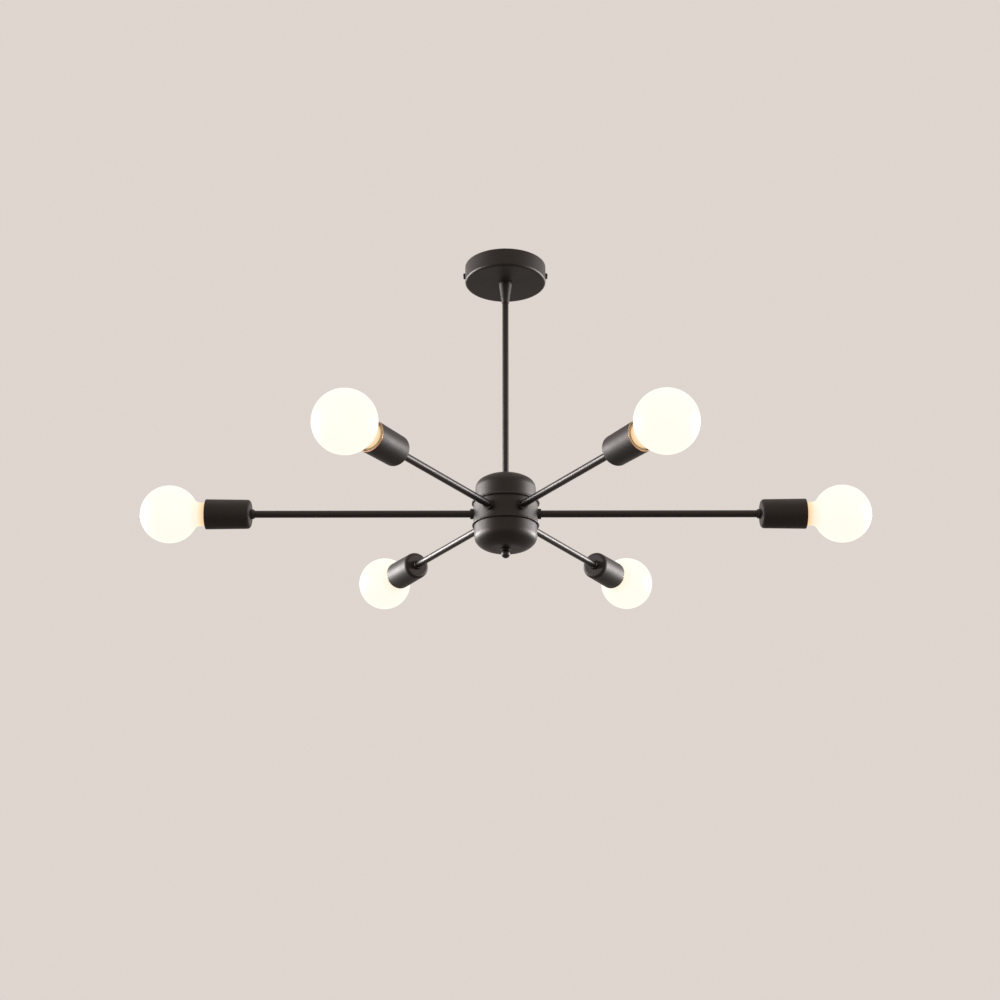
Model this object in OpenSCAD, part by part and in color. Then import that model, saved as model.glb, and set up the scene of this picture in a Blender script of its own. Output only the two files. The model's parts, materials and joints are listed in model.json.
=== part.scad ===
// Ceiling light: a round canopy, a straight rod and a drum-shaped hub with six level arms.
// Each arm ends in a socket cup with a globe bulb; the two side arms are the long ones.
// Millimetres, +Z up. The origin is the centre of the mounting bracket, on the ceiling plane.

/* [Overall] */
// Height of the arm plane below the ceiling
arm_drop = 382; // [250:1:900]

/* [Canopy] */
// Outer diameter of the canopy
canopy_d = 117.5; // [112:0.5:160]
// Height of the canopy
canopy_h = 26.5; // [26:0.5:45]
// Wall of the canopy
canopy_wall = 1.2; // [0.8:0.1:2]
// Radius of the canopy's lower edge
canopy_round = 3.5; // [2:0.5:8]
// Height of the tapered collar under the canopy
collar_h = 31; // [20:1:60]
// Diameter of the collar where it meets the canopy
collar_d = 19; // [15:0.5:28]
// Height of the straight lip at the top of the collar
collar_lip = 3; // [1:0.5:6]
// Wall of the collar at its lower end
collar_tip_wall = 0.55; // [0.4:0.05:2]

/* [Bracket] */
// Width of the bracket strip
bracket_w = 30; // [26:1:36]
// Thickness of the bracket strip and of its turned-down ears
bracket_t = 2; // [1.5:0.5:3]
// Distance between the centres of the two screw slots
slot_pitch = 76; // [72:1:78]
// Width of each screw slot
slot_w = 5; // [4:0.5:6]
// Length of each screw slot from end to end
slot_len = 20; // [10:1:22]
// Depth of the side screws below the ceiling
side_screw_drop = 13.5; // [11:0.5:15]
// Thread diameter of the side screws
side_screw_d = 4; // [3:0.5:5]
// Head diameter of the side screws
side_head_d = 8.5; // [7:0.5:10]
// Head height of the side screws
side_head_h = 3.2; // [2:0.1:4]
// Diameter of the hole for the supply cable
cable_hole_d = 10; // [8:0.5:12]
// Length of the terminal block
block_len = 22; // [18:1:24]
// Width of the terminal block
block_w = 16; // [14:1:20]
// Height of the terminal block
block_h = 12; // [10:1:14]
// Distance of the earth screw from the bracket's centre line
earth_screw_y = 10; // [9.5:0.5:11]
// Thread diameter of the small machine screws
small_screw_d = 3; // [2.5:0.5:3.5]
// Head diameter of the small machine screws
small_head_d = 6; // [5:0.5:7]
// Head height of the small machine screws
small_head_h = 2.4; // [1.5:0.1:3]

/* [Rod] */
// Outer diameter of the rod
rod_d = 9; // [8:0.1:12]
// Wall of the rod
rod_wall = 1.2; // [1.2:0.1:1.5]
// Width of the shoulder where the rod steps down to its threaded ends
rod_step = 0.5; // [0.3:0.1:0.6]
// Depth of the rod's upper shoulder inside the collar
rod_seat_depth = 8; // [5:0.5:12]
// Width across the flats of the rod's nuts
rod_nut_af = 13; // [12:0.5:16]
// Thickness of the rod's nuts
rod_nut_t = 4.5; // [3:0.5:6]
// Length of thread that stands out of a nut
thread_end = 2; // [1:0.5:3]

/* [Hub] */
// Outer diameter of the hub's middle band
band_d = 89; // [86:0.5:110]
// Wall of the middle band
band_wall = 1.8; // [1.2:0.1:2.5]
// Height of the band above the arm plane
band_above = 13.5; // [13.5:0.5:20]
// Height of the band below the arm plane
band_below = 15.3; // [15:0.1:22]
// Width by which the upper rim stands out of the band
upper_rim_out = 2.6; // [1:0.1:4]
// Thickness of the upper rim
upper_rim_t = 3.8; // [3.4:0.1:5]
// Width by which the lower rim stands out of the band
lower_rim_out = 1.9; // [1:0.1:4]
// Thickness of the lower rim
lower_rim_t = 2.9; // [2:0.1:4]
// Thickness of the web across the top of the band
web_t = 2.8; // [2:0.1:3.3]
// Outer diameter of the upper cap
top_cap_d = 84.2; // [80:0.2:88]
// Height of the upper cap
top_cap_h = 38; // [30:0.1:60]
// Width of the upper cap's rounded shoulder
top_cap_round_w = 30.7; // [26:0.1:34]
// Height of the upper cap's rounded shoulder
top_cap_round_h = 19; // [18:0.5:24]
// Radius where the upper cap's shoulder meets its side
top_cap_side_r = 14; // [12:0.5:17]
// Outer diameter of the lower cap
bottom_cap_d = 87; // [83:0.2:88]
// Height of the lower cap
bottom_cap_h = 33; // [30:0.1:50]
// Width of the lower cap's rounded shoulder
bottom_cap_round_w = 23.5; // [22:0.5:32]
// Height of the lower cap's rounded shoulder
bottom_cap_round_h = 19; // [18:0.5:24]
// Radius where the lower cap's shoulder meets its side
bottom_cap_side_r = 15.5; // [13:0.5:17]
// Wall of both caps
cap_wall = 1.2; // [0.8:0.1:1.6]
// Width of the strip that crosses the hub and carries the finial stud
bridge_w = 12; // [10:0.5:14]
// Thickness of that strip
bridge_t = 1.5; // [1:0.1:2]
// Depth of the strip's top face below the arm plane
bridge_drop = 12; // [11.5:0.1:12.5]
// Distance of the hub's earth screw from its axis
hub_earth_x = 25; // [22:1:28]

/* [Finial] */
// Diameter of the finial's ball
ball_d = 12.4; // [10.8:0.1:13.2]
// Depth of the ball's centre below the lower cap
ball_drop = 6.6; // [6.3:0.1:10]
// Diameter of the finial's washer
washer_d = 13.5; // [11:0.5:20]
// Thickness of the finial's washer
washer_t = 2.5; // [1.5:0.1:2.5]
// Diameter of the finial's neck
finial_neck_d = 7; // [6:0.1:8]
// Thread diameter of the finial stud
stud_d = 4; // [3:0.5:4]
// Length of stud inside the finial
stud_grip = 11; // [9:0.5:11]

/* [Arms] */
// Distance from the hub's axis to the globe's centre on the two long arms
long_reach = 465; // [300:1:700]
// Distance from the hub's axis to the globe's centre on the four short arms
short_reach = 382; // [260:1:600]
// Outer diameter of the arm tubes
arm_d = 10; // [8:0.5:11]
// Wall of the arm tubes
arm_wall = 1; // [0.8:0.1:1.2]
// Diameter of the collar round each arm at the hub
arm_collar_d = 14.5; // [13:0.5:18]
// Reach of that collar out of the band
arm_collar_t = 4.5; // [2:0.5:8]
// Width across the flats of the nuts inside the hub
arm_nut_af = 13; // [12:0.5:13]
// Thickness of the nuts inside the hub
arm_nut_t = 4; // [3:0.5:5]

/* [Sockets] */
// Diameter of a socket cup at its mouth
cup_mouth_d = 41.8; // [41.5:0.1:50]
// Diameter of a socket cup just before its rounded back edge
cup_back_d = 40.4; // [40:0.1:46]
// Length of a socket cup
cup_len = 62; // [58:0.5:80]
// Wall of a socket cup
cup_wall = 1.2; // [0.8:0.1:1.4]
// Thickness of a cup's back
cup_back_t = 1.5; // [1:0.1:2.5]
// Radius of a cup's rounded back edge
cup_round = 5; // [3:0.5:7]
// Length of bulb glass that the cup's mouth covers
glass_cover = 2.3; // [2:0.1:10]
// Outer diameter of the lampholder
holder_d = 36; // [34:0.5:36.5]
// Diameter of the nut behind each cup
socket_nut_d = 14; // [13:0.5:18]
// Thickness of the nut behind each cup
socket_nut_t = 5; // [3:0.5:8]

/* [Bulbs] */
// Diameter of the globe
globe_d = 80; // [60:1:95]
// Length of the bulb from the end of the globe to the contact
bulb_len = 120; // [105:1:140]
// Thickness of the opal glass
glass_t = 1.2; // [0.8:0.1:1.5]
// Diameter of the globe's neck
neck_d = 32.4; // [30:0.1:34]
// Radius of the hollow curve between globe and neck
neck_fillet = 10; // [6:0.5:12]
// Diameter of the glass where it meets the screw cap
glass_end_d = 29.2; // [28.4:0.1:30]
// Diameter over the screw thread
thread_d = 26.4; // [26:0.05:26.45]
// Distance between two turns of the thread
thread_pitch = 3.63; // [3.6:0.01:3.7]
// Depth of the thread
thread_depth = 1; // [0.6:0.1:1.1]
// Length of the screw cap with its contact
screw_cap_len = 27; // [25:0.5:29]

/* [Wiring] */
// Diameter of the supply leads
supply_lead_d = 1.8; // [1.4:0.1:1.8]
// Diameter of the arm leads
arm_lead_d = 1.6; // [1.2:0.1:1.6]
// Distance of each wire connector from the hub's axis
connector_y = 16; // [15:0.5:18]
// Diameter of a wire connector at its mouth
connector_d = 12; // [11:0.5:14]
// Length of a wire connector
connector_len = 20; // [16:0.5:22]

/* [Hidden] */
$fn = 96;

// Clearances
fit = 0.05;        // radial, threaded or pressed pieces of one assembly
slip = 0.3;        // round moving pieces and holes that only let something pass
eps = 1;           // how far a cutting tool runs past the face it cuts
lap = 0.2;         // how far two shapes of one solid run into each other
thread_short = 0.5; // how far a screw's end stays inside its thread

// Colours as the light shows them
black_satin = [0.17, 0.16, 0.15];
opal = [1.0, 0.98, 0.93];
nickel = [0.78, 0.76, 0.72];
zinc = [0.72, 0.73, 0.74];
brass = [0.80, 0.64, 0.33];
porcelain = [0.93, 0.90, 0.84];
insulator = [0.88, 0.88, 0.86];

// Arms: one every 60 degrees, and the two that lie along X are long
arm_count = 6;
function arm_angle(n) = (n - 1) * 360 / arm_count;
function is_long(n) = (n - 1) % 3 == 0;
function reach(n) = is_long(n) ? long_reach : short_reach;

// Heights, measured from the arm plane
web_top = band_above + upper_rim_t;
crown_top = web_top + top_cap_h;
lower_face = -band_below - lower_rim_t;
cap_floor = lower_face - bottom_cap_h;
bridge_top = -bridge_drop;
bridge_bottom = bridge_top - bridge_t;

// Rod
rod_r = rod_d / 2;
rod_bore_r = rod_r - rod_wall;
spigot_r = rod_r - rod_step;
spigot_hole_r = spigot_r + fit;
canopy_floor_z = -canopy_h + canopy_wall;
rod_top_z = canopy_floor_z + rod_nut_t + thread_end;
rod_seat_z = -canopy_h - rod_seat_depth;
crown_z = crown_top - arm_drop;
rod_end_z = web_top - web_t - rod_nut_t - thread_end - arm_drop;

// Bracket: as long as the canopy allows, with its ears just inside the wall
canopy_in_r = canopy_d / 2 - canopy_wall;
ear_out_x = sqrt(pow(canopy_in_r, 2) - pow(bracket_w / 2, 2)) - slip;
ear_h = side_screw_drop + side_screw_d;
rod_gap = 1;
nut_gap = 7;
block_x = -block_len / 2 - rod_d / 2 - rod_gap;
cable_hole_x = cable_hole_d / 2 + rod_d / 2 + nut_gap;
earth_top = [rod_d / 2 + rod_gap, -earth_screw_y, -bracket_t];
earth_hub = [hub_earth_x, 0, web_top - web_t - arm_drop];
block_screw = [block_x, 0, -bracket_t - block_h / 2];
terminal_y = block_w / 4;
terminal_hole_d = 3.5;
terminal_hole_h = block_h * 0.3;
entry_z = -bracket_t - block_h * 0.6;

// Hub
band_r = band_d / 2;
band_in_r = band_r - band_wall;
rim_seat_w = 3.6;
rim_seat_r = min(top_cap_d, bottom_cap_d) / 2 - rim_seat_w;
lug_len = 15;
lug_h = 4.2;
lug_screw_inset = 9.7;
lug_screw_x = band_in_r - lug_screw_inset;

// Finial
finial_bore_slack = 0.4;
stud_end = cap_floor - stud_grip;
stud_head_af = 7;
stud_head_h = 3;

// Arms
arm_r = arm_d / 2;
arm_bore_r = arm_r - arm_wall;
arm_hole_r = arm_r + fit;
arm_nut_face = sqrt(pow(band_in_r, 2) - pow(arm_nut_af / sqrt(3), 2));
arm_start = arm_nut_face - arm_nut_t - thread_end;

// Sockets and bulbs, measured from the globe's centre towards the hub
globe_r = globe_d / 2;
tip_s = bulb_len - globe_r;
glass_end_s = tip_s - screw_cap_len;
mouth_s = glass_end_s - glass_cover;
cup_back_s = mouth_s + cup_len;
holder_recess = 1.5;
holder_front_s = glass_end_s + holder_recess;
contact_t = 1.7;
floor_s = tip_s + slip + contact_t;
floor_t = 4.5;
holder_back_s = cup_back_s - cup_back_t;
holder_back_t = 4.4;
arm_end_s = holder_back_s - holder_back_t - thread_end;
shell_in_r = thread_d / 2 + slip;
shell_t = 0.5;
shell_r = shell_in_r + shell_t;
shell_recess = 1.5;
centre_contact_r = 4;
cap_skirt = 1.5;
bulb_contact_h = 4;
thread_start_s = glass_end_s + cap_skirt;
thread_end_s = tip_s - bulb_contact_h;
core_r = thread_d / 2 - thread_depth;
glass_taper = 3.5;

// Leads
lead_sides = 8;
bend_cut = 3;
arm_lead_lift = 1.2;
terminal_offset = 7;
lead_clear = 1;
lead_rise = 3.5;
bundle_r = 2.5;
supply_level = 4.5;
supply_ring_r = 1.25;
connector_mouth = -6;
connector_cavity = 11;

// A sharp-cornered route with each corner replaced by a short curve
function unit(v) = v / norm(v);
function bezier(a, b, c, t) = (1 - t) * (1 - t) * a + 2 * t * (1 - t) * b + t * t * c;
function corner(a, b, c) =
    [for (t = [0:0.25:1]) bezier(b + unit(a - b) * bend_cut, b, b + unit(c - b) * bend_cut, t)];
function bent(p) = concat(
    [p[0]],
    [for (i = [1:len(p) - 2]) each corner(p[i - 1], p[i], p[i + 1])],
    [p[len(p) - 1]]);
function along(p, i) = unit(p[min(i + 1, len(p) - 1)] - p[max(i - 1, 0)]);
function across(t, side) = unit(side - (side * t) * t);

// A round lead along the route p; side is a direction that the route never takes
module lead(p, r, side) {
    rings = [for (i = [0:len(p) - 1])
        let (t = along(p, i), u = across(t, side), v = cross(t, u))
            for (k = [0:lead_sides - 1])
                p[i] + r * (u * cos(k * 360 / lead_sides) + v * sin(k * 360 / lead_sides))];
    last = (len(p) - 1) * lead_sides;
    walls = [for (i = [0:len(p) - 2]) for (k = [0:lead_sides - 1])
        let (a = i * lead_sides + k, b = i * lead_sides + (k + 1) % lead_sides)
            each [[a, a + lead_sides, b], [b, a + lead_sides, b + lead_sides]]];
    start_cap = [for (k = [0:lead_sides - 1]) k];
    end_cap = [for (k = [lead_sides - 1:-1:0]) last + k];
    polyhedron(points = rings, faces = concat(walls, [start_cap, end_cap]), convexity = 6);
}

// Local Z runs outwards along arm n, from the hub's axis
module on_arm(n) {
    rotate([0, 0, arm_angle(n)])
        translate([0, 0, -arm_drop])
            rotate([0, 90, 0])
                children();
}

// Local Z runs from the globe's centre of arm n towards the hub
module from_globe(n) {
    on_arm(n)
        translate([0, 0, reach(n)])
            rotate([0, 180, 0])
                children();
}

// A tube between two heights
module tube(z0, z1, outer_r, inner_r) {
    translate([0, 0, z0])
        difference() {
            cylinder(h = z1 - z0, r = outer_r);
            translate([0, 0, -eps])
                cylinder(h = z1 - z0 + 2 * eps, r = inner_r);
        }
}

// A hexagon nut with a round hole, standing on local z = 0
module hex_nut(flats, thick, hole_r) {
    difference() {
        cylinder(h = thick, d = flats * 2 / sqrt(3), $fn = 6);
        translate([0, 0, -eps])
            cylinder(h = thick + 2 * eps, r = hole_r);
    }
}

// A pan-head screw: head above local z = 0, shank below
module pan_screw(head_d, head_h, shank_d, shank_len) {
    round_r = head_h * 0.45;
    rotate_extrude()
        union() {
            square([head_d / 2, head_h - round_r]);
            square([head_d / 2 - round_r, head_h]);
            translate([head_d / 2 - round_r, head_h - round_r])
                intersection() {
                    circle(r = round_r);
                    square(round_r);
                }
        }
    translate([0, 0, -shank_len])
        cylinder(h = shank_len + lap, d = shank_d);
}

// Half of a turned cup's outline, r wide and h high, with a shoulder of two arcs that meet smoothly:
// a small one of side_r at the side, and a large one that runs out flat at the top
module shoulder_outline(r, h, shoulder, side_r, inset) {
    top_r = (pow(shoulder.x - side_r, 2) + pow(shoulder.y, 2) - pow(side_r, 2)) / (2 * (shoulder.y - side_r));
    side_centre = [shoulder.x - side_r, 0];
    top_centre = [0, shoulder.y - top_r];
    meet = top_centre + (top_r - inset) * unit(side_centre - top_centre);
    corner_x = r - shoulder.x;
    corner_z = h - shoulder.y;
    square([r - inset, corner_z]);
    square([corner_x, h - inset]);
    translate([corner_x, corner_z]) {
        intersection() {
            translate(top_centre)
                circle(r = top_r - inset);
            square([meet.x, shoulder.y]);
        }
        intersection() {
            translate(side_centre)
                circle(r = side_r - inset);
            translate([meet.x, 0])
                square([shoulder.x - meet.x, shoulder.y]);
        }
    }
}

// A turned cap with an even wall, open at z = 0, with a hole in its crown
module turned_cap(d, h, shoulder, side_r, hole_r) {
    difference() {
        rotate_extrude()
            difference() {
                shoulder_outline(d / 2, h, shoulder, side_r, 0);
                shoulder_outline(d / 2, h, shoulder, side_r, cap_wall);
            }
        cylinder(h = h + eps, r = hole_r);
    }
}

// Half of a pan's outline with a round lower edge, drawn inset from its outer face
module pan_outline(r, h, edge, inset) {
    square([r - inset, h - edge]);
    square([r - edge, h - inset]);
    translate([r - edge, h - edge])
        intersection() {
            circle(r = edge - inset);
            square(edge);
        }
}

// Half of the bulb glass's outline, drawn inset from its outer face, ending at end_s
module glass_outline(inset, end_s) {
    ball_r = globe_r - inset;
    throat_r = neck_d / 2 - inset;
    curve_r = neck_fillet + inset;
    curve_x = throat_r + curve_r;
    curve = [curve_x, sqrt(pow(ball_r + curve_r, 2) - pow(curve_x, 2))];
    touch = curve * ball_r / (ball_r + curve_r);
    intersection() {
        circle(r = ball_r);
        translate([0, -globe_r])
            square([globe_r, globe_d]);
    }
    difference() {
        polygon([[0, touch.y], touch, curve, [0, curve.y]]);
        translate(curve)
            circle(r = curve_r);
    }
    polygon([
        [0, curve.y - lap],
        [throat_r, curve.y],
        [throat_r, glass_end_s - glass_taper],
        [glass_end_d / 2 - inset, glass_end_s],
        [glass_end_d / 2 - inset, end_s],
        [0, end_s]
    ]);
}

module bulb_globe(n) {
    color(opal)
        from_globe(n)
            rotate_extrude()
                difference() {
                    glass_outline(0, glass_end_s);
                    glass_outline(glass_t, glass_end_s + eps);
                }
}

module bulb_screw_cap(n) {
    first_turn_s = thread_start_s + 1.6 * thread_depth + thread_pitch / 2;
    turns = floor((thread_end_s - thread_start_s - 2 * thread_depth) / thread_pitch);
    color(nickel)
        from_globe(n)
            rotate_extrude()
                union() {
                    polygon([
                        [0, glass_end_s],
                        [glass_end_d / 2, glass_end_s],
                        [thread_d / 2, thread_start_s],
                        [core_r, thread_start_s + cap_skirt],
                        [core_r, thread_end_s],
                        [0, thread_end_s]
                    ]);
                    for (i = [0:turns - 1])
                        translate([core_r, first_turn_s + i * thread_pitch])
                            circle(r = thread_depth);
                }
}

// The bulb's glass insulator and the button at its middle
module bulb_contact(n) {
    insulator_r = core_r - 1.5;
    button_r = 6;
    button_tip_r = 4.6;
    button_s = tip_s - 0.7;
    color(brass)
        from_globe(n)
            rotate_extrude()
                polygon([
                    [0, thread_end_s],
                    [insulator_r, thread_end_s],
                    [button_r, button_s],
                    [button_tip_r, tip_s],
                    [0, tip_s]
                ]);
}

// The cup's outline tapers from the mouth to the rounded back edge
module socket_cup_outline(inset, back_s, front_s) {
    edge_r = cup_round - inset;
    back_r = cup_back_d / 2 - inset;
    polygon([
        [0, front_s],
        [cup_mouth_d / 2 - inset, front_s],
        [back_r, back_s - edge_r],
        [0, back_s - edge_r]
    ]);
    translate([0, back_s - edge_r - lap])
        square([back_r - edge_r, edge_r + lap]);
    translate([back_r - edge_r, back_s - edge_r])
        intersection() {
            circle(r = edge_r);
            square(edge_r);
        }
}

module socket_cup(n) {
    color(black_satin)
        from_globe(n)
            difference() {
                rotate_extrude()
                    difference() {
                        socket_cup_outline(0, cup_back_s, mouth_s);
                        socket_cup_outline(cup_wall, holder_back_s, mouth_s - eps);
                    }
                translate([0, 0, holder_back_s - eps])
                    cylinder(h = cup_back_t + 2 * eps, r = arm_hole_r);
            }
}

module lampholder(n) {
    holder_r = holder_d / 2;
    bore_r = shell_r + fit;
    front_edge = 1;
    back_edge_r = holder_r - 3.5;
    back_edge_s = holder_back_s - 5;
    well_r = holder_r - 4.5;
    well_back_s = holder_back_s - holder_back_t;
    color(porcelain)
        from_globe(n)
            rotate_extrude()
                polygon([
                    [bore_r, holder_front_s],
                    [holder_r - front_edge, holder_front_s],
                    [holder_r, holder_front_s + front_edge],
                    [holder_r, back_edge_s],
                    [back_edge_r, holder_back_s],
                    [arm_hole_r, holder_back_s],
                    [arm_hole_r, well_back_s],
                    [well_r, well_back_s],
                    [well_r, floor_s + floor_t],
                    [0, floor_s + floor_t],
                    [0, floor_s],
                    [bore_r, floor_s]
                ]);
}

module arm_tube(n) {
    color(black_satin)
        on_arm(n)
            tube(arm_start, reach(n) - arm_end_s, arm_r, arm_bore_r);
}

module arm_collars() {
    color(black_satin)
        for (n = [1:arm_count])
            difference() {
                on_arm(n)
                    tube(band_r - eps, band_r + arm_collar_t, arm_collar_d / 2, arm_hole_r);
                translate([0, 0, -arm_drop - arm_collar_d])
                    cylinder(h = 2 * arm_collar_d, r = band_r + fit);
            }
}

module arm_hub_nuts() {
    color(zinc)
        for (n = [1:arm_count])
            on_arm(n)
                translate([0, 0, arm_nut_face - arm_nut_t])
                    hex_nut(arm_nut_af, arm_nut_t, arm_hole_r);
}

module socket_nuts() {
    nut_r = socket_nut_d / 2;
    nut_edge = 1;
    nut_back_s = cup_back_s + socket_nut_t;
    color(black_satin)
        for (n = [1:arm_count])
            from_globe(n)
                rotate_extrude()
                    polygon([
                        [arm_hole_r, cup_back_s],
                        [nut_r, cup_back_s],
                        [nut_r, cup_back_s + socket_nut_t * 0.4],
                        [nut_r - nut_edge, nut_back_s],
                        [arm_hole_r, nut_back_s]
                    ]);
}

module screw_shells() {
    color(brass)
        for (n = [1:arm_count])
            from_globe(n)
                tube(holder_front_s + shell_recess, floor_s, shell_r, shell_in_r);
}

module centre_contacts() {
    color(brass)
        for (n = [1:arm_count])
            from_globe(n)
                translate([0, 0, floor_s - contact_t])
                    cylinder(h = contact_t, r = centre_contact_r);
}

// Two leads an arm: pole 1 runs above the arm's axis, pole -1 below it
module arm_leads() {
    for (n = [1:arm_count])
        for (pole = [1, -1])
            color(pole > 0 ? [0.45, 0.22, 0.12] : [0.15, 0.30, 0.62])
                lead(bent(arm_lead_route(n, pole)), arm_lead_d / 2, arm_lead_side(n, pole));
}

function connector_centre(pole) = [0, pole * connector_y, 0];
function arm_dir(n) = [cos(arm_angle(n)), sin(arm_angle(n)), 0];
function fan_dir(n, pole) = unit(arm_dir(n) * arm_start - connector_centre(pole));
function arm_lead_side(n, pole) = cross([0, 0, 1], fan_dir(n, pole));
function level(z) = [0, 0, z - arm_drop];
function arm_lead_route(n, pole) =
    let (
        foot = connector_centre(pole) + bundle_r * fan_dir(n, pole),
        run = pole * arm_lead_lift,
        out = pole * terminal_offset,
        tube_end = reach(n) - arm_end_s,
        terminal = reach(n) - floor_s - floor_t
    ) [
        foot + level(connector_mouth - connector_cavity),
        foot + level(run),
        arm_dir(n) * arm_start + level(run),
        arm_dir(n) * (tube_end + lead_clear) + level(run),
        arm_dir(n) * (terminal - bend_cut - lead_clear) + level(out),
        arm_dir(n) * terminal + level(out)
    ];

module hub_top_cap() {
    color(black_satin)
        translate([0, 0, web_top - arm_drop])
            turned_cap(top_cap_d, top_cap_h, [top_cap_round_w, top_cap_round_h], top_cap_side_r,
                spigot_hole_r);
}

// A disc with a half-round edge
module bead_outline(r, thick) {
    square([r - thick / 2, thick]);
    translate([r - thick / 2, thick / 2])
        intersection() {
            circle(d = thick);
            translate([0, -thick / 2])
                square([thick / 2, thick]);
        }
}

module hub_ring() {
    rotate_extrude()
        difference() {
            union() {
                translate([0, band_above])
                    bead_outline(band_r + upper_rim_out, upper_rim_t);
                translate([0, lower_face])
                    bead_outline(band_r + lower_rim_out, lower_rim_t);
                translate([0, lower_face + lower_rim_t / 2])
                    square([band_r, band_above - lower_face]);
            }
            translate([0, -band_below])
                square([band_in_r, band_below + web_top - web_t]);
            translate([0, lower_face - eps])
                square([rim_seat_r, lower_rim_t + 2 * eps]);
        }
}

// The lugs inside the ring that the strip is screwed to
module hub_lugs() {
    intersection() {
        for (side = [-1, 1])
            translate([side * (band_in_r - lug_len / 2), 0, bridge_top + lug_h / 2])
                cube([lug_len + 2 * band_wall, bridge_w, lug_h], center = true);
        translate([0, 0, bridge_top - eps])
            cylinder(h = lug_h + 2 * eps, r = band_r - band_wall / 2);
    }
}

module hub_body() {
    color(black_satin)
        translate([0, 0, -arm_drop])
            difference() {
                union() {
                    hub_ring();
                    hub_lugs();
                }
                translate([0, 0, web_top - web_t - eps])
                    cylinder(h = web_t + 2 * eps, r = spigot_hole_r);
                for (n = [1:arm_count])
                    rotate([0, 90, arm_angle(n)])
                        translate([0, 0, arm_start])
                            cylinder(h = band_r - arm_start + eps, r = arm_hole_r);
                for (side = [-1, 1])
                    translate([side * lug_screw_x, 0, bridge_top - eps])
                        cylinder(h = lug_h + 2 * eps, d = small_screw_d + 2 * fit);
                translate([earth_hub.x, earth_hub.y, web_top - web_t - eps])
                    cylinder(h = web_t + 2 * eps, d = small_screw_d + 2 * fit);
            }
}

module hub_clamp_nuts() {
    color(zinc)
        for (top = [crown_top - cap_wall, web_top - web_t])
            translate([0, 0, top - rod_nut_t - arm_drop])
                hex_nut(rod_nut_af, rod_nut_t, spigot_hole_r);
}

module hub_bridge() {
    bridge_end_x = lug_screw_x + small_head_d;
    color(zinc)
        translate([0, 0, bridge_bottom - arm_drop])
            difference() {
                translate([-bridge_end_x, -bridge_w / 2, 0])
                    cube([2 * bridge_end_x, bridge_w, bridge_t]);
                for (side = [-1, 1])
                    translate([side * lug_screw_x, 0, -eps])
                        cylinder(h = bridge_t + 2 * eps, d = small_screw_d + 2 * fit);
                translate([0, 0, -eps])
                    cylinder(h = bridge_t + 2 * eps, r = stud_d / 2 + fit);
            }
}

module bridge_screws() {
    color(zinc)
        for (side = [-1, 1])
            translate([side * lug_screw_x, 0, bridge_bottom - arm_drop])
                mirror([0, 0, 1])
                    pan_screw(small_head_d, small_head_h, small_screw_d, bridge_t + lug_h - thread_short);
}

module finial_stud() {
    color(zinc)
        translate([0, 0, -arm_drop]) {
            translate([0, 0, stud_end])
                cylinder(h = bridge_top - stud_end + lap, d = stud_d);
            translate([0, 0, bridge_top])
                cylinder(h = stud_head_h, d = stud_head_af * 2 / sqrt(3), $fn = 6);
        }
}

module hub_bottom_cap() {
    color(black_satin)
        translate([0, 0, lower_face - arm_drop])
            mirror([0, 0, 1])
                turned_cap(bottom_cap_d, bottom_cap_h, [bottom_cap_round_w, bottom_cap_round_h],
                    bottom_cap_side_r, stud_d / 2 + slip);
}

module finial() {
    edge = washer_t / 2;
    color(black_satin)
        translate([0, 0, cap_floor - arm_drop])
            mirror([0, 0, 1])
                difference() {
                    union() {
                        cylinder(h = washer_t, d = washer_d - 2 * edge);
                        rotate_extrude()
                            bead_outline(washer_d / 2, washer_t);
                        cylinder(h = ball_drop, d = finial_neck_d);
                        translate([0, 0, ball_drop])
                            sphere(d = ball_d);
                    }
                    translate([0, 0, -eps])
                        cylinder(h = stud_grip + finial_bore_slack + eps, r = stud_d / 2 + fit);
                }
}

module wire_connectors() {
    mouth_r = connector_d / 2;
    shoulder_r = mouth_r - 1.8;
    tip_r = mouth_r - 2.5;
    tip_h = 1;
    flare_h = connector_len * 0.7;
    cavity_r = bundle_r + arm_lead_d / 2 + slip;
    for (pole = [1, -1])
        color([0.78, 0.36, 0.12])
            translate(connector_centre(pole) + level(connector_mouth - connector_len))
                rotate_extrude()
                    polygon([
                        [0, 0],
                        [tip_r, 0],
                        [shoulder_r, tip_h],
                        [mouth_r, flare_h],
                        [mouth_r, connector_len],
                        [cavity_r, connector_len],
                        [cavity_r, connector_len - connector_cavity],
                        [0, connector_len - connector_cavity]
                    ]);
}

module downrod() {
    color(black_satin)
        difference() {
            union() {
                translate([0, 0, crown_z])
                    cylinder(h = rod_seat_z - crown_z, r = rod_r);
                translate([0, 0, rod_end_z])
                    cylinder(h = rod_top_z - rod_end_z, r = spigot_r);
            }
            translate([0, 0, rod_end_z - eps])
                cylinder(h = rod_top_z - rod_end_z + 2 * eps, r = rod_bore_r);
        }
}

// Line, neutral and earth leads, side by side down the rod
function supply_spot(i) = supply_ring_r * [cos(90 + 120 * i), sin(90 + 120 * i), 0];
function supply_drop(i) =
    [supply_spot(i) + [0, 0, rod_top_z + lead_rise], supply_spot(i) + level(supply_level)];
function pole_route(i, pole) = concat(
    [[block_x + block_len / 2, pole * terminal_y, entry_z],
     [supply_spot(i).x, pole * terminal_y, entry_z]],
    supply_drop(i),
    [connector_centre(pole) + level(supply_level),
     connector_centre(pole) + level(connector_mouth - connector_cavity)]);
function earth_route(i) = concat(
    [earth_top - [0, 0, small_head_h],
     earth_top - [0, 0, small_head_h + 2 * bend_cut]],
    supply_drop(i),
    [[earth_hub.x, earth_hub.y, supply_level - arm_drop],
     earth_hub - [0, 0, small_head_h]]);

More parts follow.
